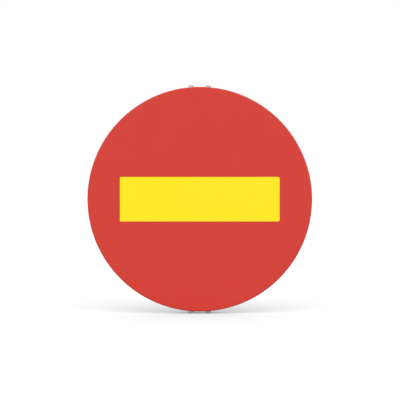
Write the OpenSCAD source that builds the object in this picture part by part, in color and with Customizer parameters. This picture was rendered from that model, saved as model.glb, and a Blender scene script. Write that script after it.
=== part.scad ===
// Round no entry sign: folded aluminium plate, two films and two cast post clamps.
// The sign faces -Y. The origin is on the axis of the post, at half the height of the sign.

/* [Sign plate] */
// Outside diameter of the plate
sign_d = 600; // [500:10:900]
// Thickness of the aluminium sheet
sheet_t = 2; // [1.5:0.5:3]
// Depth of the folded rim, from front to back
rim_depth = 18; // [16:1:25]
// Width of the lip that is folded inwards behind the rim
lip_w = 14; // [11:1:18]
// Inside radius of both folds
fold_r = 1; // [0.5:0.5:2]

/* [Films] */
// Thickness of the yellow base film
base_film_t = 0.3; // [0.2:0.1:0.5]
// Thickness of the red film on top of it
overlay_t = 0.2; // [0.1:0.1:0.4]
// How far the films run back along the rim, past the fold
film_skirt = 3; // [1:0.5:6]

/* [Yellow bar] */
// Length of the bar
bar_w = 427; // [300:1:460]
// Height of the bar
bar_h = 119; // [80:1:160]
// Corner radius at the left end
bar_left_r = 1.5; // [0.5:0.5:10]
// Corner radius at the right end
bar_right_r = 5; // [0.5:0.5:10]

/* [Post seat] */
// Diameter of the post that the clamps grip
post_d = 60; // [54:1:66]
// Distance from the edge of the sign to the middle of each clamp
clamp_inset = 65; // [60:1:120]
// Height of the seat on the post
seat_h = 40; // [32:1:46]
// Wall of both clamp halves round the post
seat_wall = 5.5; // [4:0.5:7]
// Gap between the two halves, so that they can be drawn together
split_gap = 8; // [4:1:12]
// Space between the post and the fork plate
post_gap = 1; // [0.5:0.5:3]

/* [Fork and tongue] */
// Thickness of the fork plate
fork_t = 5; // [4:0.5:7]
// Width of each of the two legs
leg_w = 15; // [12:0.5:18]
// Clear width between the legs
fork_gap = 31; // [26:0.5:34]
// Depth of the round-ended slot between the legs
fork_depth = 19; // [18:1:30]
// How far the lugs reach past the edge of the sign
lug_reach = 6; // [4:0.5:10]
// How far the lugs hook forwards over the rim
lug_hook = 7; // [3:0.5:9]
// Corner radius on the back of the lugs
lug_r = 3; // [1:0.5:3.5]
// Clearance between the lugs and the rim
rim_gap = 0.5; // [0.2:0.1:1]
// Thickness of the tongue
tongue_t = 5; // [3:0.5:6]
// How much narrower the tongue is than the slot, on each side
tongue_side = 1.5; // [1:0.5:4]
// Space between the end of the tongue and the inside of the rim
tongue_room = 3; // [2:0.5:5]
// Chamfer on the end of the tongue
tongue_nose = 1.5; // [0.5:0.5:2]
// Clearance between the tongue and the lip
lip_gap = 0.4; // [0.2:0.1:0.8]
// Clearance between the root of the tongue and the edge of the lip
root_gap = 1.5; // [0.5:0.5:4]
// Thickness of the two ribs behind the legs
rib_t = 5; // [3:0.5:6]
// Height of the ribs where they leave the seat
rib_h = 10; // [5:1:12]
// Distance from the edge of the sign to the end of the ribs
rib_inset = 8; // [5:1:20]

/* [Ears and rear half] */
// Thickness of the front ears
front_ear_t = 14; // [12:0.5:16]
// Thickness of the rear ears
rear_ear_t = 8; // [6:0.5:12]
// Height of the ears
ear_h = 30; // [24:1:32]
// Corner radius of the ears
ear_r = 8; // [4:0.5:11]
// Metal between the edge of a washer and the end of its ear
ear_margin = 4; // [2:0.5:8]
// Height of the stiffening band round the rear half
band_h = 3; // [1.5:0.5:5]
// Width of the stiffening band round the rear half
band_w = 8; // [4:0.5:14]
// Space between that band and the washers
tool_gap = 0.5; // [0.5:0.5:4]

/* [Cast fillets] */
// Radius where the ears meet the ribs and the wall of the seat
ear_fillet = 3; // [1:0.5:4]
// Radius along the foot of the ribs
rib_fillet = 2.5; // [1:0.5:3]

/* [Bolts, washers and nuts] */
// Diameter of the bolts
bolt_d = 8; // [6:0.5:8]
// Thread that stands out past the nuts
thread_out = 2.9; // [1:0.1:10]
// Size across the flats of heads and nuts
hex_af = 13; // [11:0.5:13]
// Height of the bolt heads
head_h = 5.3; // [4:0.1:6]
// Height of the nuts
nut_h = 6.5; // [5:0.1:8]
// Outside diameter of the washers
washer_d = 16; // [15:0.5:18]
// Thickness of the washers
washer_t = 1.6; // [1:0.1:2]
// Clearance round a bolt in its hole
hole_gap = 0.5; // [0.2:0.1:1]
// Clearance round a bolt in its washer
washer_gap = 0.2; // [0.1:0.1:0.4]
// Clearance round a bolt head in its pocket
pocket_gap = 0.3; // [0.1:0.1:0.5]
// Depth of the hexagon pockets
pocket_depth = 6; // [4:0.5:8]
// Clearance between a nut and its bolt
thread_gap = 0.05; // [0.02:0.01:0.1]

/* [Hidden] */
$fn = 96;
FINE = 240;

sign_r = sign_d / 2;
post_r = post_d / 2;
bend = fold_r + sheet_t;
lip_r = sign_r - lip_w;

// Levels along Y, counted from the axis of the post
fork_back = -(post_r + post_gap);
lip_back = fork_back - fork_t;
lip_front = lip_back - sheet_t;
plate_front = lip_back - rim_depth;
tongue_back = lip_front - lip_gap;
tongue_front = tongue_back - tongue_t;
lug_front = lip_back - lug_hook;
front_ear_back = -split_gap / 2;
front_ear_front = front_ear_back - front_ear_t;
head_seat = front_ear_front + pocket_depth;
rear_ear_front = split_gap / 2;
rear_ear_back = rear_ear_front + rear_ear_t;
nut_seat = rear_ear_back + washer_t;
bolt_l = nut_seat - head_seat + nut_h + thread_out;

// Heights of the upper clamp
clamp_z = sign_r - clamp_inset;
seat_low = clamp_z - seat_h / 2;
seat_top = clamp_z + seat_h / 2;
tongue_root = lip_r - root_gap;
tongue_end = sign_r - sheet_t - tongue_room;
rib_end = sign_r - rib_inset;
leg_end = sign_r + lug_reach;

// Widths
fork_w = fork_gap + 2 * leg_w;
seat_out = post_r + seat_wall;
bolt_x = seat_out + band_h + tool_gap + washer_d / 2;
ear_end = bolt_x + washer_d / 2 + ear_margin;
ear_start = post_r / 2;

SHEET = [0.74, 0.76, 0.78];
CAST = [0.66, 0.68, 0.70];
ZINC = [0.72, 0.73, 0.70];
YELLOW = [0.996, 0.914, 0.18];
RED = [0.831, 0.278, 0.239];

// Flat shapes

// Sector of a ring, from the -Y direction through a quarter turn towards +X
module fold_2d(inner, t) {
    intersection() {
        difference() {
            circle(inner + t);
            circle(inner);
        }
        translate([0, -(inner + t)]) square(inner + t);
    }
}

// Section of a sheet with square folds. It starts along +X with its outer face on y = 0. Each run is
// a straight length, and a fold of inside radius inner joins it to the next one
module folded_2d(t, inner, runs, i = 0) {
    square([runs[i], t]);
    if (i < len(runs) - 1) translate([runs[i], inner + t]) {
        fold_2d(inner, t);
        rotate(90) translate([0, -(inner + t)]) folded_2d(t, inner, runs, i + 1);
    }
}

// Rectangle from [0, 0] whose corners have one radius at the left end and one at the right end
module bar_2d(w, h, left_r, right_r) {
    translate([left_r, 0]) square([w - left_r - right_r, h]);
    translate([0, left_r]) square([left_r, h - 2 * left_r]);
    translate([w - right_r, right_r]) square([right_r, h - 2 * right_r]);
    for (y = [left_r, h - left_r]) translate([left_r, y]) circle(left_r);
    for (y = [right_r, h - right_r]) translate([w - right_r, y]) circle(right_r);
}

// Fills the corner between two sides that run from [0, 0] along +X and +Y. It laps back into the metal
module fillet_2d(r, lap) {
    difference() {
        translate([-lap, -lap]) square(r + lap);
        translate([r, r]) circle(r);
    }
}

// Placing

// Puts a shape that was turned round Z on the axis of the sign, with its z = 0 on the front of the plate
module on_sign_axis() {
    translate([0, plate_front, 0]) rotate([-90, 0, 0]) children();
}

// The lower clamp is the upper one turned over
module at_end(top) {
    if (top) children();
    else mirror([0, 0, 1]) children();
}

// Puts a shape that was drawn along Z on the axis of a bolt of the upper clamp, pointing back from y
module on_bolt(left, y) {
    translate([left ? -bolt_x : bolt_x, y, clamp_z]) rotate([-90, 0, 0]) children();
}

// Extrudes a section that was drawn in y and z along X, both ways
module along_x(w) {
    rotate([90, 0, 90]) linear_extrude(w, center = true) children();
}

// Extrudes an outline that was drawn in x and z along Y, from y0 to y1
module along_y(y0, y1) {
    translate([0, y1, 0]) rotate([90, 0, 0]) linear_extrude(y1 - y0) children();
}

// Sign

module sign_plate() {
    color(SHEET) on_sign_axis() rotate_extrude($fn = FINE)
        folded_2d(sheet_t, fold_r, [sign_r - bend, rim_depth - 2 * bend, lip_w - bend]);
}

// A film that lies on what is under it and rolls over the edge of the plate
module film(t, under) {
    on_sign_axis() translate([0, 0, -under - t]) rotate_extrude($fn = FINE)
        folded_2d(t, bend + under, [sign_r - bend, film_skirt]);
}

module base_sheeting() {
    color(YELLOW) film(base_film_t, 0);
}

module red_overlay() {
    color(RED) difference() {
        film(overlay_t, base_film_t);
        along_y(plate_front - bend, plate_front)
            translate([-bar_w / 2, -bar_h / 2]) bar_2d(bar_w, bar_h, bar_left_r, bar_right_r);
    }
}

// Clamps

// Outline of the fork: a plate with a round-ended slot between its two legs
module fork_2d() {
    slot_r = fork_gap / 2;
    slot_z = leg_end - fork_depth + slot_r;
    difference() {
        translate([-fork_w / 2, seat_low]) square([fork_w, leg_end - seat_low]);
        translate([0, slot_z]) circle(slot_r);
        translate([-slot_r, slot_z]) square([fork_gap, fork_depth]);
    }
}

// Section of the fork: a plate that ends in a lug, which is hooked forwards and rounded at the back
module hook_2d() {
    translate([lip_back, seat_low]) square([fork_t, leg_end - lug_r - seat_low]);
    translate([lug_front, lip_r]) square([fork_back - lug_r - lug_front, leg_end - lip_r]);
    translate([fork_back - lug_r, leg_end - lug_r]) circle(lug_r);
}

module fork() {
    difference() {
        intersection() {
            along_y(lug_front, fork_back) fork_2d();
            along_x(fork_w) hook_2d();
        }
        translate([0, plate_front, 0]) rotate([-90, 0, 0])
            cylinder(h = rim_depth, r = sign_r + rim_gap, $fn = FINE);
    }
}

// Section of the tongue: a ramp up from the fork, then a flat that goes under the lip
module tongue_2d() {
    rise = lip_back - tongue_front;
    inside = lip_back + fork_t / 2;
    polygon([
        [inside, tongue_root],
        [tongue_back, tongue_root],
        [tongue_back, tongue_end],
        [tongue_front + tongue_nose, tongue_end],
        [tongue_front, tongue_end - tongue_nose],
        [tongue_front, tongue_root - rise],
        [lip_back, tongue_root - 2 * rise],
        [inside, tongue_root - 2 * rise]
    ]);
}

// Section of a rib: full depth beside the seat, then tapered out towards the rim
module rib_2d() {
    inside = lip_back + fork_t / 2;
    polygon([
        [inside, seat_low],
        [front_ear_back, seat_low],
        [front_ear_back, seat_top],
        [fork_back + rib_h, seat_top],
        [fork_back, rib_end],
        [inside, rib_end]
    ]);
}

// A rib with a fillet along its foot, on the side towards the slot. The fillet tapers off with the rib
module rib() {
    along_x(rib_t) rib_2d();
    intersection() {
        along_x(rib_t + 2 * rib_fillet) rib_2d();
        translate([-rib_t / 2, fork_back, seat_low]) mirror([1, 0, 0])
            linear_extrude(rib_end - seat_low) fillet_2d(rib_fillet, fork_t / 2);
    }
}

// Half of the seat wall, on one side of the gap between the halves. The bore is cut later
module seat_half(front) {
    intersection() {
        translate([0, 0, seat_low]) cylinder(h = seat_h, r = seat_out);
        translate([-seat_out, front ? front_ear_back - seat_out : rear_ear_front, seat_low])
            cube([2 * seat_out, seat_out, seat_h]);
    }
}

// The two ears of a clamp half, from y0 to y1. The bore is cut later
module ears(y0, y1) {
    w = ear_end - ear_start;
    for (side = [0, 1]) mirror([side, 0, 0]) along_y(y0, y1)
        translate([ear_start, clamp_z - ear_h / 2]) {
            square([w - ear_r, ear_h]);
            translate([0, ear_r]) square([w, ear_h - 2 * ear_r]);
            for (z = [ear_r, ear_h - ear_r]) translate([w - ear_r, z]) circle(ear_r);
        }
}

// Fillet in the corner between a front ear and the outside of its rib
module front_fillet() {
    translate([fork_w / 2, front_ear_front, clamp_z - ear_h / 2]) mirror([0, 1, 0])
        linear_extrude(ear_h) fillet_2d(ear_fillet, rib_t / 2);
}

// Fillet between a rear ear and the wall of the seat: an arc that touches both
module rear_fillet() {
    reach = seat_out + ear_fillet;
    y = rear_ear_back + ear_fillet;
    x = sqrt(reach * reach - y * y);
    foot = seat_out / reach;
    translate([0, 0, clamp_z - ear_h / 2]) linear_extrude(ear_h) difference() {
        polygon([[ear_start, rear_ear_front], [x, rear_ear_front], [x, y], [x * foot, y * foot]]);
        translate([x, y]) circle(ear_fillet);
    }
}

// What both halves have cut out of them: the bore for the post and the bolt holes
module bore_and_holes() {
    translate([0, 0, seat_low - 1]) cylinder(h = leg_end - seat_low + 2, r = post_r);
    for (left = [false, true]) on_bolt(left, front_ear_front - 1)
        cylinder(h = rear_ear_back - front_ear_front + 2, d = bolt_d + 2 * hole_gap);
}

module hexagon(af, h) {
    cylinder(h = h, d = af / cos(30), $fn = 6);
}

module clamp_saddle(top) {
    color(CAST) at_end(top) difference() {
        union() {
            fork();
            along_x(fork_gap - 2 * tongue_side) tongue_2d();
            for (side = [0, 1]) mirror([side, 0, 0]) {
                translate([(fork_w - rib_t) / 2, 0, 0]) rib();
                front_fillet();
            }
            ears(front_ear_front, front_ear_back);
            seat_half(true);
        }
        bore_and_holes();
        for (left = [false, true]) on_bolt(left, front_ear_front - 1)
            hexagon(hex_af + 2 * pocket_gap, pocket_depth + 1);
    }
}

module clamp_cap(top) {
    band_start = (rear_ear_front + rear_ear_back) / 2;
    band_r = seat_out + band_h;
    color(CAST) at_end(top) difference() {
        union() {
            seat_half(false);
            ears(rear_ear_front, rear_ear_back);
            for (side = [0, 1]) mirror([side, 0, 0]) rear_fillet();
            intersection() {
                translate([0, 0, clamp_z - band_w / 2]) cylinder(h = band_w, r = band_r);
                translate([-band_r, band_start, clamp_z - band_w / 2]) cube([2 * band_r, band_r, band_w]);
            }
        }
        bore_and_holes();
    }
}

// Fasteners

// Hexagon with its corners chamfered at the far end, and at the near end too if both is true
module hex_body(h, both) {
    spread = h / tan(30);
    intersection() {
        hexagon(hex_af, h);
        cylinder(h = h, r1 = hex_af / 2 + spread, r2 = hex_af / 2);
        if (both) cylinder(h = h, r1 = hex_af / 2, r2 = hex_af / 2 + spread);
        else cylinder(h = h, r = hex_af);
    }
}

module bolt(left, top) {
    tip = 0.8;
    color(ZINC) at_end(top) on_bolt(left, head_seat) {
        mirror([0, 0, 1]) hex_body(head_h, false);
        cylinder(h = bolt_l - tip, d = bolt_d);
        translate([0, 0, bolt_l - tip]) cylinder(h = tip, d1 = bolt_d, d2 = bolt_d - 2 * tip);
    }
}

module washer(left, top) {
    color(ZINC) at_end(top) on_bolt(left, rear_ear_back) difference() {
        cylinder(h = washer_t, d = washer_d);
        translate([0, 0, -1]) cylinder(h = washer_t + 2, d = bolt_d + 2 * washer_gap);
    }
}

module nut(left, top) {
    color(ZINC) at_end(top) on_bolt(left, nut_seat) difference() {
        hex_body(nut_h, true);
        translate([0, 0, -1]) cylinder(h = nut_h + 2, d = bolt_d + 2 * thread_gap);
    }
}

sign_plate();
base_sheeting();
red_overlay();
clamp_saddle(true);  // clamp_saddle_top
clamp_saddle(false);  // clamp_saddle_bottom
clamp_cap(true);  // clamp_cap_top
clamp_cap(false);  // clamp_cap_bottom
bolt(true, true);  // bolt_top_left
bolt(false, true);  // bolt_top_right
bolt(true, false);  // bolt_bottom_left
bolt(false, false);  // bolt_bottom_right
washer(true, true);  // washer_top_left
washer(false, true);  // washer_top_right
washer(true, false);  // washer_bottom_left
washer(false, false);  // washer_bottom_right
nut(true, true);  // nut_top_left
nut(false, true);  // nut_top_right
nut(true, false);  // nut_bottom_left
nut(false, false);  // nut_bottom_right
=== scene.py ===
"""Looks of a round no entry sign: films, folded sheet, cast post clamps, fasteners and a plain studio.

Everything is in metres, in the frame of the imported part. The sign faces -Y and the origin is on the
axis of the post, at half the height of the sign. Size fields of the pieces are in millimetres, those of
the studio are in metres where their names don't give another unit.
"""

import logging
import math
from dataclasses import dataclass, field
from enum import Enum

import bmesh
import bpy
from mathutils import Matrix, Vector


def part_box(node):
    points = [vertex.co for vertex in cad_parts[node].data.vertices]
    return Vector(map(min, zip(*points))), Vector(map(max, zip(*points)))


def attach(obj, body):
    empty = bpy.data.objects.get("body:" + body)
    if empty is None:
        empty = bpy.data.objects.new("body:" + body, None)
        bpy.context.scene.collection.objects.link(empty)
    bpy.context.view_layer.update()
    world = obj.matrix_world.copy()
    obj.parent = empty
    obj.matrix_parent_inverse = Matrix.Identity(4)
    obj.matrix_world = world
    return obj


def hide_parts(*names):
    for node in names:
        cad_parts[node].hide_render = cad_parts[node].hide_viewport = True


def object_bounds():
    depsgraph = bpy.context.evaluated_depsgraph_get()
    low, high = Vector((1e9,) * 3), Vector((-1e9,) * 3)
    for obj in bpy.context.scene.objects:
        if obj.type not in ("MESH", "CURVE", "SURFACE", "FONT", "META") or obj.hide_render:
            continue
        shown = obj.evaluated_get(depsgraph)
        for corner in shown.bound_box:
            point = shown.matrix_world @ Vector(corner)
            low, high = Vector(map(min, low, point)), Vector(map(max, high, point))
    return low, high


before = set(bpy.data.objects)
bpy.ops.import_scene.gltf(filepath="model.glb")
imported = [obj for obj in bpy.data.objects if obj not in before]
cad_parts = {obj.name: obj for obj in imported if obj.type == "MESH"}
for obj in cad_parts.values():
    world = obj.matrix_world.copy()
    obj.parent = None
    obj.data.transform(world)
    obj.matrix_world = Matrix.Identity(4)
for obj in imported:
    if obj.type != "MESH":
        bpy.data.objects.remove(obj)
CAD_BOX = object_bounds()

LOG = logging.getLogger("no_entry_sign")
BODY = "root"
MM = 0.001
BACK = Vector((0, 1, 0))
FULL_TURN = 2 * math.pi
UPRIGHT = Matrix.Rotation(math.pi / 2, 4, "X")
MERGE = 1e-6
MID_NOISE = (0.3, 0.7)
WHITE = (1.0, 1.0, 1.0, 1.0)

Colour = tuple[float, float, float, float]
Triple = tuple[float, float, float]
Pair = tuple[float, float]
Socket = bpy.types.NodeSocket
Vert = bmesh.types.BMVert
Edge = bmesh.types.BMEdge


class Slot(Enum):
    """Material slots of the record."""

    SHEET = "sheet_aluminium"
    YELLOW = "yellow_film"
    RED = "red_film"
    CAST = "cast_aluminium"
    ZINC = "zinc_steel"


class End(Enum):
    """Ends of the sign that carry a clamp."""

    TOP = "top"
    BOTTOM = "bottom"


class Hand(Enum):
    """Sides of a clamp, as the names of the nodes give them."""

    LEFT = "left"
    RIGHT = "right"


def grey(value: float, warmth: float = 0.0) -> Colour:
    """Makes a grey that is a little warm or cold.

    Args:
        value: Linear value of green.
        warmth: Share by which red is raised and blue lowered.

    Returns:
        The linear colour with an alpha of 1.
    """
    return (value * (1 + warmth), value, value * (1 - warmth), 1.0)


# Node trees


class NodeBench:
    """Adds and links the nodes of one node tree."""

    def __init__(self, tree: bpy.types.NodeTree) -> None:
        """Keeps the tree to work on.

        Args:
            tree: The node tree of a material, a world or a group.
        """
        self.tree = tree

    def link(self, source: Socket, target: Socket) -> None:
        """Links two sockets."""
        self.tree.links.new(source, target)

    def add(self, kind: str, settings: dict | None = None, inputs: dict | None = None) -> bpy.types.Node:
        """Adds a node.

        Args:
            kind: Type name of the node.
            settings: Attributes to set on it.
            inputs: Values or output sockets for its inputs, by name or number.

        Returns:
            The new node.
        """
        node = self.tree.nodes.new(kind)
        for key, value in (settings or {}).items():
            setattr(node, key, value)
        for key, value in (inputs or {}).items():
            if isinstance(value, Socket):
                self.link(value, node.inputs[key])
            else:
                node.inputs[key].default_value = value
        return node

    def use(self, tree: bpy.types.NodeTree, **inputs: Socket | float) -> bpy.types.Node:
        """Places a shared node group.

        Args:
            tree: The node group.
            inputs: Values or sockets for its inputs, with _ for a space.

        Returns:
            The group node.
        """
        named = {key.replace("_", " "): value for key, value in inputs.items()}
        return self.add("ShaderNodeGroup", {"node_tree": tree}, named)

    def calc(self, operation: str, *values: Socket | float) -> Socket:
        """Adds a Math node.

        Args:
            operation: Name of the operation.
            values: Numbers or sockets, in the order of the inputs.

        Returns:
            The output socket.
        """
        return self.add("ShaderNodeMath", {"operation": operation}, dict(enumerate(values))).outputs[0]

    def plus(self, base: Socket | float, value: Socket, weight: float) -> Socket:
        """Adds a weighted value to a base."""
        return self.calc("MULTIPLY_ADD", value, weight, base)

    def ramp(self, value: Socket, low: Socket | float, high: Socket | float, to_low: float = 0.0,
             to_high: float = 1.0) -> Socket:
        """Maps a value smoothly from one range to another, clamped at both ends.

        Args:
            value: The value to map.
            low: Start of the range of the value.
            high: End of the range of the value.
            to_low: Result at the start.
            to_high: Result at the end.

        Returns:
            The mapped value.
        """
        inputs = {"Value": value, "From Min": low, "From Max": high, "To Min": to_low, "To Max": to_high}
        return self.add("ShaderNodeMapRange", {"interpolation_type": "SMOOTHSTEP"}, inputs).outputs["Result"]

    def blend(self, share: Socket | float, first: Socket | Colour, second: Socket | Colour) -> Socket:
        """Mixes two colours.

        Args:
            share: Share of the second colour.
            first: Colour at 0.
            second: Colour at 1.

        Returns:
            The mixed colour.
        """
        return self.add("ShaderNodeMix", {"data_type": "RGBA"}, {0: share, 6: first, 7: second}).outputs[2]

    def place(self, scale: Triple = (1, 1, 1), turn: Triple = (0, 0, 0), shift: Triple = (0, 0, 0)) -> Socket:
        """Adds Object coordinates with a Mapping node.

        Args:
            scale: Scale along X, Y and Z.
            turn: Rotation in radians.
            shift: Shift after scale and rotation.

        Returns:
            The vector.
        """
        coords = self.add("ShaderNodeTexCoord").outputs["Object"]
        inputs = {"Vector": coords, "Scale": scale, "Rotation": turn, "Location": shift}
        return self.add("ShaderNodeMapping", inputs=inputs).outputs[0]

    def noise(self, vector: Socket, scale: Socket | float, detail: float = 3.0,
              rough: float = 0.55) -> Socket:
        """Adds a Noise Texture.

        Args:
            vector: Coordinates to read.
            scale: Cells per metre.
            detail: Number of finer layers.
            rough: Weight of the finer layers.

        Returns:
            The noise, from 0 to 1.
        """
        inputs = {"Vector": vector, "Scale": scale, "Detail": detail, "Roughness": rough}
        return self.add("ShaderNodeTexNoise", inputs=inputs).outputs[0]

    def bump(self, height: Socket, depth_mm: float, strength: float) -> Socket:
        """Turns a height into a normal.

        Args:
            height: Height from 0 to 1.
            depth_mm: Height of a full step, in millimetres.
            strength: Strength of the bump.

        Returns:
            The normal.
        """
        inputs = {"Height": height, "Distance": depth_mm * MM, "Strength": strength}
        return self.add("ShaderNodeBump", inputs=inputs).outputs[0]


@dataclass
class SharedPatterns:
    """Node groups that more than one finish uses, each built once."""

    grain_range: Pair = (0.25, 0.75)
    chip_scale: float = 420.0
    chip_range: Pair = (0.3, 0.62)
    chip_least: float = 0.35
    hollow_shade_range: Pair = (0.49, 0.42)
    scratch_stretch: Triple = (14.0, 14.0, 900.0)
    scratch_runs: tuple[Pair, ...] = ((0.35, 0.0), (-0.8, 3.1), (1.3, 7.7))
    scratch_range: Pair = (0.735, 0.76)
    half_cell: Pair = (0.5, math.sqrt(3) / 2)
    wall_range: Pair = (0.43, 0.48)

    def __post_init__(self) -> None:
        """Builds all the groups."""
        self.mottle = self.build_mottle()
        self.edges = self.build_edges()
        self.scratches = self.build_scratches()
        self.cells = self.build_cells()

    @staticmethod
    def start(name: str, inputs: dict[str, float],
              outputs: tuple[str, ...]) -> tuple[NodeBench, dict[str, Socket], dict[str, Socket]]:
        """Makes an empty group.

        Args:
            name: Name of the group.
            inputs: Names of the inputs, with their default values.
            outputs: Names of the outputs.

        Returns:
            The bench, the input sockets and the sockets that take the outputs, both by name.
        """
        tree = bpy.data.node_groups.new(name, "ShaderNodeTree")
        for label, value in inputs.items():
            made = tree.interface.new_socket(name=label, in_out="INPUT", socket_type="NodeSocketFloat")
            made.default_value = value
        for label in outputs:
            tree.interface.new_socket(name=label, in_out="OUTPUT", socket_type="NodeSocketFloat")
        bench = NodeBench(tree)
        source = bench.add("NodeGroupInput")
        sink = bench.add("NodeGroupOutput")
        return bench, {i: source.outputs[i] for i in inputs}, {o: sink.inputs[o] for o in outputs}

    def build_mottle(self) -> bpy.types.NodeTree:
        """Builds uneven tone in large patches, and a fine grain.

        Returns:
            The group, with Patch and Grain from 0 to 1.
        """
        bench, given, out = self.start("metal_mottle", {"Patch Scale": 60.0, "Grain Scale": 1500.0},
                                       ("Patch", "Grain"))
        spot = bench.place()
        patch = bench.noise(spot, given["Patch Scale"], detail=4.0)
        grain = bench.noise(spot, given["Grain Scale"], detail=2.0)
        bench.link(bench.ramp(patch, *MID_NOISE), out["Patch"])
        bench.link(bench.ramp(grain, *self.grain_range), out["Grain"])
        return bench.tree

    def build_edges(self) -> bpy.types.NodeTree:
        """Builds masks of worn corners and of hollows, the corners broken up by noise; the mask of hollows
        sets where shade is painted.

        Returns:
            The group, with Worn and Hollow from 0 to 1.
        """
        bench, given, out = self.start("edge_wear_and_shade", {"Low": 0.52, "High": 0.60}, ("Worn", "Hollow Shade"))
        point = bench.add("ShaderNodeNewGeometry").outputs["Pointiness"]
        chips = bench.ramp(bench.noise(bench.place(), self.chip_scale), *self.chip_range, self.chip_least)
        sharp = bench.ramp(point, given["Low"], given["High"])
        bench.link(bench.calc("MULTIPLY", sharp, chips), out["Worn"])
        # The mask of hollows, from concave places, sets where shade is painted into the colour.
        bench.link(bench.ramp(point, *self.hollow_shade_range), out["Hollow Shade"])
        return bench.tree

    def build_scratches(self) -> bpy.types.NodeTree:
        """Builds sparse fine scratches that run in three directions.

        Returns:
            The group, with Mask from 0 to 1.
        """
        bench, given, out = self.start("fine_scratches", {"Amount": 0.5}, ("Mask",))
        total: Socket | float = 0.0
        for turn, shift in self.scratch_runs:
            spot = bench.place(self.scratch_stretch, (0, turn, 0), (shift, shift, shift))
            line = bench.ramp(bench.noise(spot, 1.0, detail=0.0), *self.scratch_range)
            total = bench.calc("MAXIMUM", total, line)
        bench.link(bench.calc("MULTIPLY", total, given["Amount"]), out["Mask"])
        return bench.tree

    def from_middle(self, bench: NodeBench, spot: list[Socket], shift: float) -> list[Socket]:
        """Measures how far a spot is from the middle of the nearest cell of one grid.

        Args:
            bench: Bench of the group.
            spot: Place across and upwards, in widths of a cell.
            shift: Shift of the grid, in half cells.

        Returns:
            The distances across and upwards.
        """
        parts = []
        for value, half in zip(spot, self.half_cell):
            moved = bench.calc("SUBTRACT", value, half * shift)
            within = bench.calc("FLOORED_MODULO", moved, 2 * half)
            parts.append(bench.calc("ABSOLUTE", bench.calc("SUBTRACT", within, half)))
        return parts

    @staticmethod
    def squared(bench: NodeBench, parts: list[Socket]) -> Socket:
        """Gives the square of the distance that two parts make up."""
        return bench.calc("MULTIPLY_ADD", parts[0], parts[0], bench.calc("MULTIPLY", parts[1], parts[1]))

    def build_cells(self) -> bpy.types.NodeTree:
        """Builds the honeycomb of sealed cells in reflective film, in the plane of the sign.

        Returns:
            The group, with Wall from 0 in a cell to 1 on its wall.
        """
        bench, given, out = self.start("film_cells", {"Cell": 3.6}, ("Wall",))
        size = bench.calc("MULTIPLY", given["Cell"], MM)
        place = bench.add("ShaderNodeSeparateXYZ", inputs={0: bench.place()})
        spot = [bench.calc("DIVIDE", place.outputs[axis], size) for axis in ("X", "Z")]
        first, second = (self.from_middle(bench, spot, shift) for shift in (0.0, 1.0))
        nearer = bench.calc("LESS_THAN", self.squared(bench, second), self.squared(bench, first))
        across, upward = (bench.calc("MULTIPLY_ADD", nearer, bench.calc("SUBTRACT", two, one), one)
                          for one, two in zip(first, second))
        slant = bench.plus(bench.calc("MULTIPLY", across, self.half_cell[0]), upward, self.half_cell[1])
        bench.link(bench.ramp(bench.calc("MAXIMUM", slant, across), *self.wall_range), out["Wall"])
        return bench.tree


# Finishes


def new_material(name: str) -> tuple[bpy.types.Material, NodeBench, bpy.types.Node]:
    """Makes a material with one Principled shader.

    Args:
        name: Name of the material.

    Returns:
        The material, a bench for its nodes and the shader node.
    """
    material = bpy.data.materials.new(name)
    material.use_nodes = True
    shader = next(n for n in material.node_tree.nodes if n.type == "BSDF_PRINCIPLED")
    return material, NodeBench(material.node_tree), shader


@dataclass(frozen=True)
class FilmFinish:
    """Smooth reflective film, with the faint honeycomb of its sealed cells."""

    name: str
    cell: Colour
    wall: Colour
    cell_mm: float = 3.6
    wall_share: float = 0.75
    cloud_scale: float = 9.0
    cloud_share: float = 0.25
    smear_scale: float = 45.0
    roughness: Pair = (0.39, 0.45)
    ripple_scale: float = 260.0
    ripple_mm: float = 0.02
    ripple_strength: float = 0.5
    specular: float = 0.25

    def build(self, shared: SharedPatterns) -> bpy.types.Material:
        """Makes the material.

        Args:
            shared: The shared node groups.

        Returns:
            The material.
        """
        material, bench, shader = new_material(self.name)
        walls = bench.use(shared.cells, Cell=self.cell_mm).outputs["Wall"]
        clouds = bench.noise(bench.place(), self.cloud_scale, detail=2.0)
        share = bench.plus(bench.ramp(clouds, *MID_NOISE, 0.0, self.cloud_share), walls, self.wall_share)
        bench.link(bench.blend(share, self.cell, self.wall), shader.inputs["Base Color"])
        smears = bench.noise(bench.place(), self.smear_scale)
        bench.link(bench.ramp(smears, *MID_NOISE, *self.roughness), shader.inputs["Roughness"])
        ripples = bench.noise(bench.place(), self.ripple_scale, detail=1.0)
        bench.link(bench.bump(ripples, self.ripple_mm, self.ripple_strength), shader.inputs["Normal"])
        shader.inputs["Specular IOR Level"].default_value = self.specular
        return material


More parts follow.
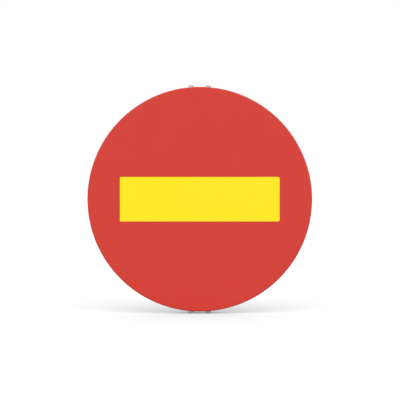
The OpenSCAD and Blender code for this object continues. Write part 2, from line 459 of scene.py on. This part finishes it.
@dataclass(frozen=True)
class SheetFinish:
    """Mill-finished sheet: rolling streaks, dull patches and a few fine scratches."""

    name: str = "sheet_rolled"
    bright: Colour = grey(0.64, -0.01)
    dull: Colour = grey(0.53, -0.02)
    mark: Colour = grey(0.72)
    fine_stretch: Triple = (2.0, 2.0, 1300.0)
    fine_share: float = 0.55
    broad_stretch: Triple = (1.0, 1.0, 120.0)
    broad_share: float = 0.45
    patch_scale: float = 11.0
    grain_scale: float = 900.0
    streak_wear: float = 0.6
    patch_wear: float = 0.4
    scratch_amount: float = 0.6
    scratch_depth: float = 0.6
    scratch_polish: float = 0.08
    roughness: float = 0.32
    wear_roughness: float = 0.17
    relief_mm: float = 0.03
    relief_strength: float = 0.26
    metallic: float = 0.92

    def build(self, shared: SharedPatterns) -> bpy.types.Material:
        """Makes the material.

        Args:
            shared: The shared node groups.

        Returns:
            The material.
        """
        material, bench, shader = new_material(self.name)
        fine = bench.noise(bench.place(self.fine_stretch), 1.0, rough=0.5)
        broad = bench.noise(bench.place(self.broad_stretch), 1.0, rough=0.6)
        streaks = bench.plus(bench.calc("MULTIPLY", broad, self.broad_share), fine, self.fine_share)
        patches = bench.use(shared.mottle, Patch_Scale=self.patch_scale, Grain_Scale=self.grain_scale)
        scratches = bench.use(shared.scratches, Amount=self.scratch_amount).outputs["Mask"]
        worn = bench.calc("MULTIPLY", patches.outputs["Patch"], self.patch_wear)
        worn = bench.plus(worn, bench.ramp(streaks, *MID_NOISE), self.streak_wear)
        tone = bench.blend(scratches, bench.blend(worn, self.bright, self.dull), self.mark)
        bench.link(tone, shader.inputs["Base Color"])
        rough = bench.plus(self.roughness, worn, self.wear_roughness)
        bench.link(bench.plus(rough, scratches, -self.scratch_polish), shader.inputs["Roughness"])
        height = bench.plus(streaks, scratches, -self.scratch_depth)
        bench.link(bench.bump(height, self.relief_mm, self.relief_strength), shader.inputs["Normal"])
        shader.inputs["Metallic"].default_value = self.metallic
        return material


@dataclass(frozen=True)
class CastFinish:
    """Cast aluminium: fine sand grain, clusters of pits, uneven tone and bright worn corners, with painted
    shade darkening the pits and hollows.
    """

    name: str = "casting"
    skin: Colour = grey(0.60)
    dull: Colour = grey(0.44, 0.02)
    bare: Colour = grey(0.80)
    # Colour of the painted shade in pits and hollows.
    hollow_shade: Colour = grey(0.22, 0.03)
    patch_scale: float = 75.0
    patch_share: float = 0.6
    grain_scale: float = 1700.0
    grain_share: float = 0.4
    pit_scale: float = 520.0
    pit_range: Pair = (0.24, 0.06)
    pit_shade_share: float = 0.35
    cluster_scale: float = 130.0
    cluster_range: Pair = (0.48, 0.60)
    hollow_shade_share: float = 0.8
    wear_range: Pair = (0.525, 0.60)
    wear_share: float = 0.75
    wear_polish: float = 0.18
    roughness: float = 0.50
    dull_roughness: float = 0.14
    relief_mm: float = 0.12
    relief_strength: float = 0.7
    metallic: float = 0.5

    def build(self, shared: SharedPatterns) -> bpy.types.Material:
        """Makes the material.

        Args:
            shared: The shared node groups.

        Returns:
            The material.
        """
        material, bench, shader = new_material(self.name)
        mottle = bench.use(shared.mottle, Patch_Scale=self.patch_scale, Grain_Scale=self.grain_scale)
        patch, grain = mottle.outputs["Patch"], mottle.outputs["Grain"]
        edges = bench.use(shared.edges, Low=self.wear_range[0], High=self.wear_range[1])
        worn, hollow_shade = edges.outputs["Worn"], edges.outputs["Hollow Shade"]
        inputs = {"Vector": bench.place(), "Scale": self.pit_scale}
        spots = bench.add("ShaderNodeTexVoronoi", inputs=inputs).outputs["Distance"]
        clusters = bench.ramp(bench.noise(bench.place(), self.cluster_scale, detail=2.0), *self.cluster_range)
        pit = bench.calc("MULTIPLY", bench.ramp(spots, *self.pit_range), clusters)
        share = bench.plus(bench.calc("MULTIPLY", patch, self.patch_share), grain, self.grain_share)
        tone = bench.blend(share, self.skin, self.dull)
        # Painted shade: the pits and the hollows are darkened towards a dark grey.
        tone = bench.blend(bench.calc("MULTIPLY", pit, self.pit_shade_share), tone, self.hollow_shade)
        tone = bench.blend(bench.calc("MULTIPLY", hollow_shade, self.hollow_shade_share), tone, self.hollow_shade)
        tone = bench.blend(bench.calc("MULTIPLY", worn, self.wear_share), tone, self.bare)
        bench.link(tone, shader.inputs["Base Color"])
        rough = bench.plus(self.roughness, share, self.dull_roughness)
        bench.link(bench.plus(rough, worn, -self.wear_polish), shader.inputs["Roughness"])
        height = bench.calc("SUBTRACT", grain, pit)
        bench.link(bench.bump(height, self.relief_mm, self.relief_strength), shader.inputs["Normal"])
        shader.inputs["Metallic"].default_value = self.metallic
        return material


@dataclass(frozen=True)
class PlatedFinish:
    """Zinc-plated steel: faint spangle, a trace of yellow and blue, and painted shade darkening the hollows.
    """

    name: str = "zinc_plating"
    cold: Colour = (0.60, 0.64, 0.68, 1.0)
    warm: Colour = (0.70, 0.68, 0.60, 1.0)
    # Colour of the painted shade in hollows.
    hollow_shade: Colour = grey(0.20, 0.02)
    bare: Colour = grey(0.82)
    patch_scale: float = 170.0
    patch_roughness: float = 0.12
    grain_scale: float = 2600.0
    grain_roughness: float = 0.05
    hollow_shade_share: float = 0.7
    wear_range: Pair = (0.53, 0.62)
    wear_share: float = 0.6
    roughness: float = 0.26
    relief_mm: float = 0.015
    relief_strength: float = 0.5
    metallic: float = 1.0

    def build(self, shared: SharedPatterns) -> bpy.types.Material:
        """Makes the material.

        Args:
            shared: The shared node groups.

        Returns:
            The material.
        """
        material, bench, shader = new_material(self.name)
        mottle = bench.use(shared.mottle, Patch_Scale=self.patch_scale, Grain_Scale=self.grain_scale)
        patch, grain = mottle.outputs["Patch"], mottle.outputs["Grain"]
        edges = bench.use(shared.edges, Low=self.wear_range[0], High=self.wear_range[1])
        worn, hollow_shade = edges.outputs["Worn"], edges.outputs["Hollow Shade"]
        tone = bench.blend(patch, self.cold, self.warm)
        # Painted shade: the hollows are darkened towards a dark grey.
        tone = bench.blend(bench.calc("MULTIPLY", hollow_shade, self.hollow_shade_share), tone, self.hollow_shade)
        tone = bench.blend(bench.calc("MULTIPLY", worn, self.wear_share), tone, self.bare)
        bench.link(tone, shader.inputs["Base Color"])
        rough = bench.plus(self.roughness, patch, self.patch_roughness)
        bench.link(bench.plus(rough, grain, self.grain_roughness), shader.inputs["Roughness"])
        bench.link(bench.bump(grain, self.relief_mm, self.relief_strength), shader.inputs["Normal"])
        shader.inputs["Metallic"].default_value = self.metallic
        return material


@dataclass
class Finishes:
    """All the finishes of the sign."""

    red: FilmFinish = FilmFinish("film_red", (0.636, 0.0385, 0.0240, 1.0), (0.658, 0.0565, 0.0400, 1.0))
    yellow: FilmFinish = FilmFinish("film_yellow", (0.990, 0.808, 0.0030, 1.0), (0.996, 0.828, 0.0120, 1.0))
    sheet: SheetFinish = SheetFinish()
    cast: CastFinish = CastFinish()
    zinc: PlatedFinish = PlatedFinish()
    made: dict[Slot, bpy.types.Material] = field(default_factory=dict)

    def build(self) -> None:
        """Makes one material for each slot."""
        shared = SharedPatterns()
        order = {Slot.RED: self.red, Slot.YELLOW: self.yellow, Slot.SHEET: self.sheet, Slot.CAST: self.cast,
                 Slot.ZINC: self.zinc}
        for slot, finish in order.items():
            self.made[slot] = finish.build(shared)
        LOG.info("%d finishes ready", len(self.made))


# Pieces


def set_piece(bm: bmesh.types.BMesh, name: str, node: str, material: bpy.types.Material,
              crease: float) -> bpy.types.Object:
    """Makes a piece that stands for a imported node.

    Args:
        bm: The finished mesh, in metres and in place. It is freed.
        name: Name of the piece.
        node: The node that it stands for.
        material: Its material.
        crease: Angle in degrees from which an edge is shaded sharp.

    Returns:
        The piece.
    """
    bmesh.ops.recalc_face_normals(bm, faces=bm.faces)
    mesh = bpy.data.meshes.new(name)
    bm.to_mesh(mesh)
    bm.free()
    mesh.shade_smooth()
    mesh.set_sharp_from_angle(angle=math.radians(crease))
    mesh.materials.append(material)
    piece = bpy.data.objects.new(name, mesh)
    bpy.context.collection.objects.link(piece)
    even = piece.modifiers.new("even_normals", "WEIGHTED_NORMAL")
    even.keep_sharp = True
    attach(piece, BODY)
    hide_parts(node)
    LOG.info("%s made, %d faces", name, len(mesh.polygons))
    return piece


def chain(bm: bmesh.types.BMesh, points: list[Pair], closed: bool = False) -> list[Vert]:
    """Adds a line of edges in the plane of X and Y.

    Args:
        bm: The mesh to add to.
        points: Pairs of x and y, in millimetres.
        closed: Whether the last point is joined to the first.

    Returns:
        The new vertices.
    """
    verts = [bm.verts.new((x * MM, y * MM, 0)) for x, y in points]
    for one, two in zip(verts, verts[1:] + (verts[:1] if closed else [])):
        bm.edges.new((one, two))
    return verts


def round_off(bm: bmesh.types.BMesh, corners: list[Vert], radius: float, segments: int) -> None:
    """Rounds square corners of a section or an outline.

    Args:
        bm: The mesh.
        corners: The vertices at the corners.
        radius: Radius in millimetres.
        segments: Steps of each arc.
    """
    bmesh.ops.bevel(bm, geom=corners, offset=radius * MM, segments=segments, profile=0.5,
                    affect="VERTICES", material=-1)


def spin(bm: bmesh.types.BMesh, steps: int) -> None:
    """Turns everything in a mesh once round Y and closes it."""
    bmesh.ops.spin(bm, geom=bm.verts[:] + bm.edges[:], cent=(0, 0, 0), axis=BACK, angle=FULL_TURN,
                   steps=steps, use_merge=True)
    bmesh.ops.remove_doubles(bm, verts=bm.verts, dist=MERGE)


@dataclass
class SignPlate:
    """The aluminium plate with its double-folded rim."""

    radius: float = 300.0
    thick: float = 2.0
    depth: float = 18.0
    lip: float = 14.0
    fold: float = 1.0
    fold_steps: tuple[int, int] = (8, 5)
    ease: float = 0.3
    ease_steps: int = 3
    support: float = 0.6
    steps: int = 288
    crease: float = 35.0

    def build(self, material: bpy.types.Material) -> bpy.types.Object:
        """Turns the section of the plate round the axis of the sign.

        Args:
            material: The finish of the sheet.

        Returns:
            The piece.
        """
        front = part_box("sign_plate")[0].y / MM
        back = front + self.depth
        inner = self.radius - self.thick
        edge = self.radius - self.lip
        outer_fold = self.fold + self.thick
        flat = self.radius - outer_fold - self.support
        bm = bmesh.new()
        verts = chain(bm, [
            (0, front), (flat, front), (self.radius, front), (self.radius, back), (flat, back), (edge, back),
            (edge, back - self.thick), (flat, back - self.thick), (inner, back - self.thick),
            (inner, front + self.thick), (flat, front + self.thick), (0, front + self.thick)])
        round_off(bm, verts[2:4], outer_fold, self.fold_steps[0])
        round_off(bm, verts[8:10], self.fold, self.fold_steps[1])
        round_off(bm, verts[5:7], self.ease, self.ease_steps)
        spin(bm, self.steps)
        return set_piece(bm, "plate_folded", "sign_plate", material, self.crease)


@dataclass
class Film:
    """A film that lies on the front of the plate and rolls over its edge."""

    node: str
    slot: Slot
    thick: float
    under: float = 0.0
    window: bool = False
    plate_radius: float = 300.0
    plate_bend: float = 3.0
    bend_steps: int = 8
    skirt: float = 3.0
    support: float = 0.6
    bar: Pair = (427.0, 119.0)
    bar_corners: Pair = (1.5, 5.0)
    corner_steps: int = 10
    field_radius: float = 240.0
    steps: int = 288
    crease: float = 50.0

    def window_outline(self, bm: bmesh.types.BMesh, level: float) -> list[Edge]:
        """Adds the outline of the bar, with the corner radius of each end.

        Args:
            bm: The mesh to add to.
            level: Place along Y, in millimetres.

        Returns:
            The edges of the outline.
        """
        size = Matrix.Diagonal((self.bar[0] * MM, self.bar[1] * MM, 1, 1))
        made = bmesh.ops.create_grid(bm, x_segments=1, y_segments=1, size=0.5,
                                     matrix=Matrix.Translation(BACK * (level * MM)) @ UPRIGHT @ size)
        corners = made["verts"]
        bmesh.ops.delete(bm, geom=list({f for v in corners for f in v.link_faces}), context="FACES_ONLY")
        for side, radius in zip((-1, 1), self.bar_corners):
            ends = [v for v in corners if v.is_valid and v.co.x * side > 0]
            round_off(bm, ends, radius, self.corner_steps)
        return [e for e in bm.edges if e.is_wire]

    def build(self, material: bpy.types.Material) -> bpy.types.Object:
        """Makes the front of the film, with its rolled edge, and gives it its thickness.

        Args:
            material: The finish of the film.

        Returns:
            The piece.
        """
        rise = self.under + self.thick
        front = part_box("sign_plate")[0].y / MM - rise
        radius = self.plate_radius + rise
        bend = self.plate_bend + rise
        start = self.field_radius if self.window else 0.0
        bm = bmesh.new()
        verts = chain(bm, [(start, front), (radius - bend - self.support, front), (radius, front),
                           (radius, front + bend + self.skirt)])
        round_off(bm, verts[2:3], bend, self.bend_steps)
        spin(bm, self.steps)
        if self.window:
            outline = self.window_outline(bm, front)
            behind_face = (front + bend) * MM
            rim = [e for e in bm.edges if e.is_boundary and e.verts[0].co.y < behind_face]
            bmesh.ops.triangle_fill(bm, use_beauty=True, use_dissolve=False, edges=rim + outline)
        bmesh.ops.recalc_face_normals(bm, faces=bm.faces)
        if sum(f.normal.y * f.calc_area() for f in bm.faces) > 0:
            bmesh.ops.reverse_faces(bm, faces=bm.faces)
        bmesh.ops.solidify(bm, geom=bm.faces[:], thickness=self.thick * MM)
        return set_piece(bm, f"{self.node}_rolled", self.node, material, self.crease)


@dataclass
class Sheeting:
    """The two films: yellow all over, and red on top of it with a window for the bar."""

    yellow_thick: float = 0.3
    red_thick: float = 0.2

    def build(self, yellow: bpy.types.Material, red: bpy.types.Material) -> list[bpy.types.Object]:
        """Makes both films.

        Args:
            yellow: The finish of the base film.
            red: The finish of the film on top.

        Returns:
            The pieces.
        """
        base = Film("base_sheeting", Slot.YELLOW, self.yellow_thick)
        overlay = Film("red_overlay", Slot.RED, self.red_thick, self.yellow_thick, window=True)
        return [base.build(yellow), overlay.build(red)]


@dataclass
class PostClamp:
    """One post clamp: its front and rear castings, with the soft edges and hollows of a sand casting."""

    end: End
    weld: float = 0.005
    grain: float = 0.7
    rounds: int = 6
    pull: float = 0.5
    crease: float = 180.0

    def casting(self, node: str, name: str, material: bpy.types.Material) -> bpy.types.Object:
        """Makes a casting from a merged copy of its node, remeshed evenly and rounded at every corner.

        Args:
            node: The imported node.
            name: Name of the piece.
            material: The finish of the casting.

        Returns:
            The piece.
        """
        bm = bmesh.new()
        bm.from_mesh(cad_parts[node].data)
        bmesh.ops.remove_doubles(bm, verts=bm.verts, dist=self.weld * MM)
        mould = bpy.data.meshes.new("mould")
        bm.to_mesh(mould)
        bm.free()
        block = bpy.data.objects.new("mould", mould)
        bpy.context.collection.objects.link(block)
        even = block.modifiers.new("even", "REMESH")
        even.mode = "VOXEL"
        even.voxel_size = self.grain * MM
        bm = bmesh.new()
        bm.from_object(block, bpy.context.evaluated_depsgraph_get())
        bpy.data.objects.remove(block)
        bpy.data.meshes.remove(mould)
        for _ in range(self.rounds):
            bmesh.ops.smooth_vert(bm, verts=bm.verts, factor=self.pull, use_axis_x=True, use_axis_y=True,
                                  use_axis_z=True)
        return set_piece(bm, name, node, material, self.crease)

    def build(self, material: bpy.types.Material) -> list[bpy.types.Object]:
        """Makes both castings of the clamp.

        Args:
            material: The finish of the castings.

        Returns:
            The pieces.
        """
        end = self.end.value
        return [self.casting(f"clamp_saddle_{end}", f"saddle_{end}", material),
                self.casting(f"clamp_cap_{end}", f"cap_{end}", material)]


@dataclass(frozen=True)
class Ring:
    """A ring of a body round Y: a circle of the radius reach, or a hexagon where reach is 0.

    The hexagon is cut by the chamfer of its end. The number towards is 1 or -1 for the way along Y from that
    end into the body, or 0 for a square end.
    """

    level: float
    reach: float = 0.0
    towards: int = 0


@dataclass
class Fastening:
    """A bolt with its washer and its nut."""

    end: End
    hand: Hand
    bolt_r: float = 4.0
    pitch: float = 1.25
    thread_share: float = 0.625
    thread_lead: float = 2.5
    thread_spare: float = 1.0
    tip: float = 0.8
    head_h: float = 5.3
    shank_lap: float = 0.4
    flats: float = 13.0
    face_reach: float = 6.15
    chamfer: float = 30.0
    nut_bore: float = 4.05
    nut_sink: float = 0.55
    washer_r: float = 8.0
    washer_bore: float = 4.2
    washer_roll: float = 0.45
    washer_burr: float = 0.3
    washer_ease: float = 0.1
    washer_steps: tuple[int, int, int] = (4, 3, 2)
    turn_steps: int = 36
    ring_steps: int = 72
    crease: float = 25.0
    washer_crease: float = 30.0

    def node(self, kind: str) -> str:
        """Gives the name of the node of one of the three pieces."""
        return f"{kind}_{self.end.value}_{self.hand.value}"

    def finish(self, bm: bmesh.types.BMesh, kind: str, look: str, material: bpy.types.Material,
               crease: float) -> bpy.types.Object:
        """Moves a piece that was drawn round Y at the origin onto the axis of its node, and sets it.

        Args:
            bm: The mesh.
            kind: Kind of the piece, as in the name of the node.
            look: Word that tells the piece from its node.
            material: The plating.
            crease: Angle in degrees from which an edge is shaded sharp.

        Returns:
            The piece.
        """
        low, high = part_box(self.node(kind))
        bmesh.ops.translate(bm, verts=bm.verts, vec=((low.x + high.x) / 2, 0, (low.z + high.z) / 2))
        name = f"{kind}_{look}_{self.end.value}_{self.hand.value}"
        return set_piece(bm, name, self.node(kind), material, crease)

    def flat_reach(self, angle: float) -> float:
        """Gives the distance from the axis to the flats, in millimetres, with corners towards the sides."""
        return self.flats / 2 / math.cos(angle % (math.pi / 3) - math.pi / 6)

    def place_ring(self, verts: list[Vert], ring: Ring) -> None:
        """Moves vertices round Y to their places on a ring, each at its own angle.

        Args:
            verts: The vertices.
            ring: The ring, in millimetres.
        """
        for vert in verts:
            angle = math.atan2(vert.co.z, vert.co.x)
            radius = ring.reach or self.flat_reach(angle)
            slope = 0.0 if ring.reach else math.tan(math.radians(self.chamfer)) * ring.towards
            level = ring.level + (radius - self.face_reach) * slope
            vert.co = (radius * math.cos(angle) * MM, level * MM, radius * math.sin(angle) * MM)

    def draw(self, rings: list[Ring], closed: bool) -> bmesh.types.BMesh:
        """Draws a body from ring to ring.

        Args:
            rings: The rings, in order.
            closed: Whether the last ring is the first again, or else both ends are capped.

        Returns:
            The mesh.
        """
        bm = bmesh.new()
        made = bmesh.ops.create_circle(bm, cap_ends=not closed, radius=MM, segments=self.ring_steps,
                                       matrix=UPRIGHT)
        edges = bm.edges[:]
        self.place_ring(made["verts"], rings[0])
        for ring in rings[1:]:
            drawn = bmesh.ops.extrude_edge_only(bm, edges=edges)["geom"]
            self.place_ring([g for g in drawn if isinstance(g, Vert)], ring)
            edges = [g for g in drawn if isinstance(g, Edge)]
        if closed:
            bmesh.ops.remove_doubles(bm, verts=bm.verts, dist=MERGE)
        else:
            bmesh.ops.edgeloop_fill(bm, edges=edges)
        return bm

    def thread(self, start: float, stop: float) -> bmesh.types.BMesh:
        """Draws a helical thread round Y that runs past the stop, with both ends open.

        Args:
            start: Where the first turn starts along Y, in millimetres.
            stop: Where the thread has to reach, in millimetres.

        Returns:
            The mesh.
        """
        root = self.bolt_r - self.thread_share * self.pitch * math.sqrt(3) / 2
        turns = math.ceil((stop + self.thread_spare - start) / self.pitch)
        section = ((0, root), (1 / 4, root), (9 / 16, self.bolt_r), (11 / 16, self.bolt_r), (1, root))
        bm = bmesh.new()
        chain(bm, [(radius, start + self.pitch * share) for share, radius in section])
        bmesh.ops.spin(bm, geom=bm.verts[:] + bm.edges[:], cent=(0, 0, 0), axis=BACK, angle=-FULL_TURN,
                       dvec=BACK * (self.pitch * MM / self.turn_steps), steps=self.turn_steps)
        turn = bm.verts[:] + bm.edges[:] + bm.faces[:]
        for number in range(1, turns):
            copy = bmesh.ops.duplicate(bm, geom=turn)["geom"]
            bmesh.ops.translate(bm, verts=[g for g in copy if isinstance(g, Vert)],
                                vec=BACK * (number * self.pitch * MM))
        bmesh.ops.remove_doubles(bm, verts=bm.verts, dist=2 * MERGE)
        return bm

    @staticmethod
    def cut_off(bm: bmesh.types.BMesh, level: float, side: int) -> None:
        """Cuts a body round Y square and closes the cut.

        Args:
            bm: The mesh.
            level: Place of the cut along Y.
            side: 1 to take off what lies behind the cut, -1 for what lies in front of it.
        """
        everything = bm.verts[:] + bm.edges[:] + bm.faces[:]
        cut = bmesh.ops.bisect_plane(bm, geom=everything, dist=MERGE / 10, plane_co=BACK * level,
                                     plane_no=BACK * side, clear_outer=True)["geom_cut"]
        bmesh.ops.edgeloop_fill(bm, edges=[g for g in cut if isinstance(g, Edge)])

    def taper(self, bm: bmesh.types.BMesh, end: float) -> None:
        """Draws the tip of the shank in to a cone of 45 degrees.

        Args:
            bm: The mesh of the shank, round Y.
            end: Place of the tip along Y.
        """
        for vert in bm.verts:
            most = (self.bolt_r - self.tip) * MM + end - vert.co.y
            reach = math.hypot(vert.co.x, vert.co.z)
            if reach > most:
                vert.co.x *= most / reach
                vert.co.z *= most / reach

    def bolt(self, material: bpy.types.Material) -> bpy.types.Object:
        """Makes the bolt: a chamfered hexagon head and a shank with a helical thread.

        Args:
            material: The plating.

        Returns:
            The piece.
        """
        low, high = (corner.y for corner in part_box(self.node("bolt")))
        top = low / MM
        seat = top + self.head_h
        bm = self.draw([Ring(top, self.face_reach), Ring(top, towards=1), Ring(seat)], closed=False)
        shank = self.thread(seat - self.thread_lead, high / MM)
        self.cut_off(shank, (seat - self.shank_lap) * MM, -1)
        self.cut_off(shank, high, 1)
        self.taper(shank, high)
        bmesh.ops.recalc_face_normals(shank, faces=shank.faces)
        part = bpy.data.meshes.new("shank")
        shank.to_mesh(part)
        shank.free()
        bm.from_mesh(part)
        bpy.data.meshes.remove(part)
        return self.finish(bm, "bolt", "threaded", material, self.crease)

    def nut(self, material: bpy.types.Material) -> bpy.types.Object:
        """Makes the nut: chamfered on both faces, with a countersunk bore.

        Args:
            material: The plating.

        Returns:
            The piece.
        """
        low, high = (corner.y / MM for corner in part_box(self.node("nut")))
        mouth = self.nut_bore + self.nut_sink
        face = Ring(low, self.face_reach)
        rings = [face, Ring(low, towards=1), Ring(high, towards=-1), Ring(high, self.face_reach),
                 Ring(high, mouth), Ring(high - self.nut_sink, self.nut_bore),
                 Ring(low + self.nut_sink, self.nut_bore), Ring(low, mouth), face]
        return self.finish(self.draw(rings, closed=True), "nut", "chamfered", material, self.crease)

    def washer(self, material: bpy.types.Material) -> bpy.types.Object:
        """Makes the washer: stamped, with one edge rolled over and the other square.

        Args:
            material: The plating.

        Returns:
            The piece.
        """
        low, high = (corner.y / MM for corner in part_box(self.node("washer")))
        bm = bmesh.new()
        verts = chain(bm, [(self.washer_bore, low), (self.washer_r, low), (self.washer_r, high),
                           (self.washer_bore, high)], closed=True)
        roll_steps, burr_steps, ease_steps = self.washer_steps
        round_off(bm, verts[2:3], self.washer_roll, roll_steps)
        round_off(bm, verts[3:4], self.washer_burr, burr_steps)
        round_off(bm, verts[:2], self.washer_ease, ease_steps)
        spin(bm, self.ring_steps)
        return self.finish(bm, "washer", "stamped", material, self.washer_crease)

    def build(self, material: bpy.types.Material) -> list[bpy.types.Object]:
        """Makes the three pieces.

        Args:
            material: The plating.

        Returns:
            The pieces.
        """
        return [self.bolt(material), self.washer(material), self.nut(material)]


# Studio


@dataclass
class Studio:
    """White floor and background, soft light and the camera of the photograph."""

    image_px: int = 400
    mm_per_px: float = 2.6714
    distance: float = 3.0
    centre_px: Pair = (0.23, 0.84)
    sensor_mm: float = 36.0
    clip: Pair = (0.05, 200.0)
    floor_size: float = 60.0
    floor_white: float = 0.85
    floor_glow: float = 0.12
    floor_bounce: float = 0.50
    cool_white: Colour = (0.690, 0.842, 0.880, 1.0)
    cool_reach: Pair = (0.36, 0.56)
    # Painted contact shadow: grey of the floor in a small patch under the sign, and its size and place.
    contact_shadow_grey: float = 0.36
    contact_shadow_reach: Pair = (0.085, 0.028)
    contact_shadow_back: float = 0.024
    ambient: float = 0.72
    key_elevation_deg: float = 50.0
    key_spread_deg: float = 90.0
    key_strength: float = 1.70
    key_distance: float = 3.0

    def camera(self, face_y: float) -> None:
        """Places the camera square to the sign.

        Args:
            face_y: Place of the front of the sign along Y.
        """
        data = bpy.data.cameras.new("camera")
        data.sensor_width = self.sensor_mm
        data.lens = self.sensor_mm * self.distance / (self.image_px * self.mm_per_px * MM)
        data.clip_start, data.clip_end = self.clip
        camera = bpy.data.objects.new("camera", data)
        aside, below = (px * self.mm_per_px * MM for px in self.centre_px)
        camera.location = (aside, face_y - self.distance, -below)
        camera.rotation_euler = (math.pi / 2, 0, 0)
        bpy.context.collection.objects.link(camera)
        bpy.context.scene.camera = camera

    @staticmethod
    def seen(bench: NodeBench) -> Socket:
        """Adds a mask of the rays that see the background.

        Args:
            bench: Bench of the material or world.

        Returns:
            1 for camera, glossy and transmission rays.
        """
        path = bench.add("ShaderNodeLightPath")
        shiny = bench.calc("MAXIMUM", path.outputs["Is Glossy Ray"], path.outputs["Is Transmission Ray"])
        return bench.calc("MAXIMUM", path.outputs["Is Camera Ray"], shiny)

    def world(self) -> None:
        """Lights the scene evenly and shows white behind it."""
        world = bpy.data.worlds.new("studio")
        world.use_nodes = True
        bpy.context.scene.world = world
        bench = NodeBench(world.node_tree)
        lighting = bench.tree.nodes["Background"]
        lighting.inputs["Color"].default_value = WHITE
        lighting.inputs["Strength"].default_value = self.ambient
        shown = bench.add("ShaderNodeBackground", inputs={"Color": WHITE, "Strength": 1.0})
        inputs = {0: self.seen(bench), 1: lighting.outputs[0], 2: shown.outputs[0]}
        mix = bench.add("ShaderNodeMixShader", inputs=inputs)
        bench.link(mix.outputs[0], bench.tree.nodes["World Output"].inputs["Surface"])

    @staticmethod
    def off_patch(bench: NodeBench, reach: Pair, middle: float) -> Socket:
        """Measures how far a spot of the floor is from the middle of a round patch.

        Args:
            bench: Bench of the floor's material.
            reach: Reach of the patch along X and along Y.
            middle: Place of its middle along Y.

        Returns:
            The distance, 0 in the middle of the patch and 1 at its edge.
        """
        across, along = reach
        inputs = {0: bench.place((1 / across, 1 / along, 0)), 1: (0, middle / along, 0)}
        return bench.add("ShaderNodeVectorMath", {"operation": "DISTANCE"}, inputs).outputs["Value"]

    def floor_material(self, face_y: float) -> bpy.types.Material:
        """Makes the floor's material: white where no shadow falls, and clear from below.

        It is cool where the red face shines on it, and carries a painted contact shadow in a small patch
        under the sign, where it also gives no light back.

        Args:
            face_y: Place of the front of the sign along Y.

        Returns:
            The material.
        """
        material, bench, shader = new_material("floor_white")
        seen = self.seen(bench)
        place = bench.add("ShaderNodeSeparateXYZ", inputs={0: bench.place()})
        near = bench.ramp(self.off_patch(bench, self.cool_reach, face_y), 0.0, 1.0, 1.0, 0.0)
        cool = bench.calc("MULTIPLY", near, bench.calc("LESS_THAN", place.outputs["Y"], face_y))
        # Painted contact shadow: the floor is darkened in a small patch under the sign and gives no light
        # back there.
        outside_contact_shadow = bench.ramp(self.off_patch(bench, self.contact_shadow_reach, face_y + self.contact_shadow_back), 0.0, 1.0)
        shown = bench.blend(cool, grey(self.floor_white), self.cool_white)
        shown = bench.blend(outside_contact_shadow, grey(self.contact_shadow_grey), shown)
        bounce = bench.blend(outside_contact_shadow, grey(0.0), grey(self.floor_bounce))
        bench.link(bench.blend(seen, bounce, shown), shader.inputs["Base Color"])
        shader.inputs["Roughness"].default_value = 1.0
        shader.inputs["Specular IOR Level"].default_value = 0.0
        shader.inputs["Emission Color"].default_value = WHITE
        bench.link(bench.calc("MULTIPLY", seen, self.floor_glow), shader.inputs["Emission Strength"])
        below = bench.add("ShaderNodeNewGeometry").outputs["Backfacing"]
        clear = bench.add("ShaderNodeBsdfTransparent").outputs[0]
        mix = bench.add("ShaderNodeMixShader", inputs={0: below, 1: shader.outputs[0], 2: clear})
        bench.link(mix.outputs[0], bench.tree.nodes["Material Output"].inputs["Surface"])
        return material

    def floor(self, level: float, face_y: float) -> None:
        """Lays the floor.

        Args:
            level: Height of the floor.
            face_y: Place of the front of the sign along Y.
        """
        bm = bmesh.new()
        bmesh.ops.create_grid(bm, x_segments=1, y_segments=1, size=self.floor_size)
        bmesh.ops.translate(bm, verts=bm.verts, vec=(0, 0, level))
        mesh = bpy.data.meshes.new("floor")
        bm.to_mesh(mesh)
        bm.free()
        mesh.materials.append(self.floor_material(face_y))
        floor = bpy.data.objects.new("floor", mesh)
        bpy.context.collection.objects.link(floor)

    def key_light(self) -> None:
        """Adds the soft key light, which comes from in front of the sign and above it."""
        data = bpy.data.lights.new("key", "SUN")
        data.angle = math.radians(self.key_spread_deg)
        data.energy = self.key_strength
        rise = math.radians(self.key_elevation_deg)
        light = bpy.data.objects.new("key", data)
        light.location = (0, -self.key_distance * math.cos(rise), self.key_distance * math.sin(rise))
        light.rotation_euler = (math.pi / 2 - rise, 0, 0)
        bpy.context.collection.objects.link(light)

    def build(self) -> None:
        """Sets up camera, floor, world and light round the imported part."""
        low, _ = CAD_BOX
        self.camera(low.y)
        self.world()
        self.floor(low.z, low.y)
        self.key_light()
        bpy.context.scene.view_settings.view_transform = "Standard"
        LOG.info("studio ready")


def main() -> None:
    """Builds the scene in order."""
    logging.basicConfig(level=logging.INFO, format="%(name)s: %(message)s")
    Studio().build()
    finishes = Finishes()
    finishes.build()
    SignPlate().build(finishes.made[Slot.SHEET])
    Sheeting().build(finishes.made[Slot.YELLOW], finishes.made[Slot.RED])
    for end in End:
        PostClamp(end).build(finishes.made[Slot.CAST])
        for hand in Hand:
            Fastening(end, hand).build(finishes.made[Slot.ZINC])


if __name__ == "__main__":
    main()
